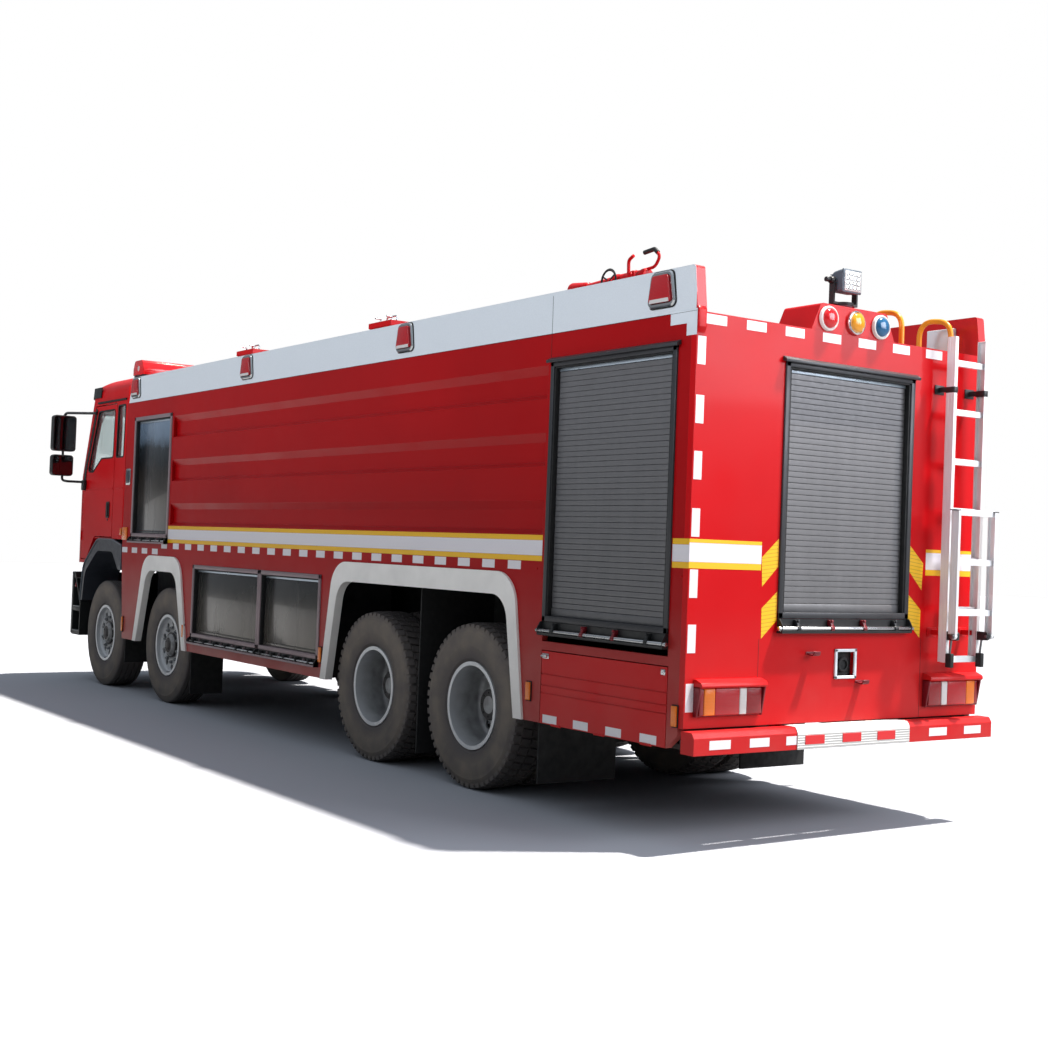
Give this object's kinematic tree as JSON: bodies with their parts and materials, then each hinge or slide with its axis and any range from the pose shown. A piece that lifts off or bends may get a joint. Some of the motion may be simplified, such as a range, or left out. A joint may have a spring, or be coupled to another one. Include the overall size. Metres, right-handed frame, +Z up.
{
  "type": "foam fire truck",
  "caption": "Four-axle foam fire truck with tilting cab, panelled tank body, roller shutters, roof monitor and folding rear ladder.",
  "frame": {"origin": "on the ground, midway along the truck's overall length, on its centre line", "axes": "+X forward, +Y to the driver's left, +Z up"},
  "size_m": [10.84, 3.2354, 3.8108],
  "materials": {
    "knuckle_iron": "cast, painted black",
    "rim_steel": "silver painted steel",
    "tyre_rubber": "worn tread rubber",
    "red_paint": "gloss fire red",
    "dark_plastic": "grained dark grey",
    "chassis_paint": "satin black",
    "tank_paint": "satin dark grey",
    "rubber_sheet": "matt black sheet",
    "pale_paint": "satin off-white",
    "floor_paint": "underbody coating",
    "tread_aluminium": "chequered plate",
    "silver_paint": "silver metallic, red inside",
    "frame_aluminium": "dark anodised",
    "slat_aluminium": "dark grey coated slats",
    "black_metal": "dark grey and clear lens",
    "orange_paint": "orange powder coat",
    "lamp_lens": "red lens",
    "ladder_aluminium": "satin extruded",
    "window_glass": "tinted safety glass",
    "seat_fabric": "woven dark grey"
  },
  "bodies": {
    "superstructure": {"chassis_frame": "chassis_paint", "axles_and_springs": "chassis_paint", "driveline": "chassis_paint", "fuel_and_air_tanks": "tank_paint", "front_bumper": "red_paint", "rear_bumper": "red_paint", "mudflaps": "rubber_sheet", "arch_flares": "pale_paint", "side_wall_left": "red_paint", "side_wall_right": "red_paint", "rear_wall": "red_paint", "body_floor": "floor_paint", "front_wall": "red_paint", "roof_deck": "tread_aluminium", "parapets": "silver_paint", "shutter_frames": "frame_aluminium", "shutter_curtains": "slat_aluminium", "roof_fittings": "red_paint", "roof_hoops": "orange_paint", "lamps": "lamp_lens", "ladder_upper": "ladder_aluminium"},
    "cab": {"cab_shell": "red_paint", "cab_glass": "window_glass", "cab_seats": "seat_fabric", "dashboard": "dark_plastic", "cab_fenders": "dark_plastic", "lightbar": "lamp_lens"},
    "door_left": {"cab_door_left": "red_paint", "mirror_left": "dark_plastic"},
    "steering_1_left": {"knuckle_1_left": "knuckle_iron"},
    "wheel_1_left": {"rim_1_left": "rim_steel", "tyre_1_left": "tyre_rubber"},
    "steering_2_left": {"knuckle_2_left": "knuckle_iron"},
    "wheel_2_left": {"rim_2_left": "rim_steel", "tyre_2_left": "tyre_rubber"},
    "wheels_3_left": {"rims_3_left": "rim_steel", "tyres_3_left": "tyre_rubber"},
    "wheels_4_left": {"rims_4_left": "rim_steel", "tyres_4_left": "tyre_rubber"},
    "drop_left": {"drop_panel_left": "red_paint"},
    "door_right": {"cab_door_right": "red_paint", "mirror_right": "dark_plastic"},
    "steering_1_right": {"knuckle_1_right": "knuckle_iron"},
    "wheel_1_right": {"rim_1_right": "rim_steel", "tyre_1_right": "tyre_rubber"},
    "steering_2_right": {"knuckle_2_right": "knuckle_iron"},
    "wheel_2_right": {"rim_2_right": "rim_steel", "tyre_2_right": "tyre_rubber"},
    "wheels_3_right": {"rims_3_right": "rim_steel", "tyres_3_right": "tyre_rubber"},
    "wheels_4_right": {"rims_4_right": "rim_steel", "tyres_4_right": "tyre_rubber"},
    "drop_right": {"drop_panel_right": "red_paint"},
    "ladder_fold": {"ladder_lower": "ladder_aluminium"},
    "monitor_turn": {"monitor_turret": "red_paint"},
    "monitor_rise": {"monitor_barrel": "red_paint"},
    "searchlight_turn": {"searchlight_yoke": "black_metal"},
    "searchlight_tip": {"searchlight_head": "black_metal"},
    "hatch_rear": {"hatch_lid_rear": "red_paint"},
    "hatch_front": {"hatch_lid_front": "red_paint"}
  },
  "joints": [
    {"name": "cab_tilt", "type": "hinge", "parent": "superstructure", "child": "cab", "pos_m": [5.3, 0, 1.245], "axis": [0, 1, 0], "range_deg": [0, 45]},
    {"name": "door_left_hinge", "type": "hinge", "parent": "cab", "child": "door_left", "pos_m": [4.963, 1.243, 2.1], "axis": [0, 0, -1], "range_deg": [0, 70]},
    {"name": "steer_1_left", "type": "hinge", "parent": "superstructure", "child": "steering_1_left", "pos_m": [4.278, 0.92, 0.562], "axis": [0, 0, 1], "range_deg": [-36, 36]},
    {"name": "spin_1_left", "type": "hinge", "parent": "steering_1_left", "child": "wheel_1_left", "pos_m": [4.278, 1.035, 0.562], "axis": [0, 1, 0], "continuous": true},
    {"name": "steer_2_left", "type": "hinge", "parent": "superstructure", "child": "steering_2_left", "pos_m": [2.508, 0.92, 0.562], "axis": [0, 0, 1], "range_deg": [-26.5, 26.5]},
    {"name": "spin_2_left", "type": "hinge", "parent": "steering_2_left", "child": "wheel_2_left", "pos_m": [2.508, 1.035, 0.562], "axis": [0, 1, 0], "continuous": true},
    {"name": "spin_3_left", "type": "hinge", "parent": "superstructure", "child": "wheels_3_left", "pos_m": [-1.597, 0.86, 0.562], "axis": [0, 1, 0], "continuous": true},
    {"name": "spin_4_left", "type": "hinge", "parent": "superstructure", "child": "wheels_4_left", "pos_m": [-2.947, 0.86, 0.562], "axis": [0, 1, 0], "continuous": true},
    {"name": "drop_left_hinge", "type": "hinge", "parent": "superstructure", "child": "drop_left", "pos_m": [-4.45, 1.25, 0.556], "axis": [-1, 0, 0], "range_deg": [0, 90]},
    {"name": "door_right_hinge", "type": "hinge", "parent": "cab", "child": "door_right", "pos_m": [4.963, -1.243, 2.1], "axis": [0, 0, 1], "range_deg": [0, 70]},
    {"name": "steer_1_right", "type": "hinge", "parent": "superstructure", "child": "steering_1_right", "pos_m": [4.278, -0.92, 0.562], "axis": [0, 0, 1], "range_deg": [-36, 36]},
    {"name": "spin_1_right", "type": "hinge", "parent": "steering_1_right", "child": "wheel_1_right", "pos_m": [4.278, -1.035, 0.562], "axis": [0, 1, 0], "continuous": true},
    {"name": "steer_2_right", "type": "hinge", "parent": "superstructure", "child": "steering_2_right", "pos_m": [2.508, -0.92, 0.562], "axis": [0, 0, 1], "range_deg": [-26.5, 26.5]},
    {"name": "spin_2_right", "type": "hinge", "parent": "steering_2_right", "child": "wheel_2_right", "pos_m": [2.508, -1.035, 0.562], "axis": [0, 1, 0], "continuous": true},
    {"name": "spin_3_right", "type": "hinge", "parent": "superstructure", "child": "wheels_3_right", "pos_m": [-1.597, -0.86, 0.562], "axis": [0, 1, 0], "continuous": true},
    {"name": "spin_4_right", "type": "hinge", "parent": "superstructure", "child": "wheels_4_right", "pos_m": [-2.947, -0.86, 0.562], "axis": [0, 1, 0], "continuous": true},
    {"name": "drop_right_hinge", "type": "hinge", "parent": "superstructure", "child": "drop_right", "pos_m": [-4.45, -1.25, 0.556], "axis": [1, 0, 0], "range_deg": [0, 90]},
    {"name": "ladder_fold_hinge", "type": "hinge", "parent": "superstructure", "child": "ladder_fold", "pos_m": [-5.4, -0.94, 1.195], "axis": [0, -1, 0], "range_deg": [0, 165]},
    {"name": "monitor_pan", "type": "hinge", "parent": "superstructure", "child": "monitor_turn", "pos_m": [-3.16, 0, 3.41], "axis": [0, 0, 1], "range_deg": [-170, 170]},
    {"name": "monitor_tilt", "type": "hinge", "parent": "monitor_turn", "child": "monitor_rise", "pos_m": [-3.16, 0, 3.6], "axis": [0, -1, 0], "range_deg": [-15, 65]},
    {"name": "searchlight_pan", "type": "hinge", "parent": "superstructure", "child": "searchlight_turn", "pos_m": [-5.05, -0.06, 3.2], "axis": [0, 0, 1], "range_deg": [-170, 170]},
    {"name": "searchlight_tilt", "type": "hinge", "parent": "searchlight_turn", "child": "searchlight_tip", "pos_m": [-5.05, -0.06, 3.335], "axis": [0, 1, 0], "range_deg": [-60, 60]},
    {"name": "hatch_rear_hinge", "type": "hinge", "parent": "superstructure", "child": "hatch_rear", "pos_m": [-1.155, 0.425, 3.378], "axis": [1, 0, 0], "range_deg": [0, 100]},
    {"name": "hatch_front_hinge", "type": "hinge", "parent": "superstructure", "child": "hatch_front", "pos_m": [1.375, 0.425, 3.378], "axis": [1, 0, 0], "range_deg": [0, 100]}
  ],
  "couplings": [
    {"joint": "steer_2_left", "follows": "steer_1_left", "ratio": 0.73},
    {"joint": "steer_1_right", "follows": "steer_1_left", "ratio": 1},
    {"joint": "steer_2_right", "follows": "steer_1_left", "ratio": 0.73}
  ]
}
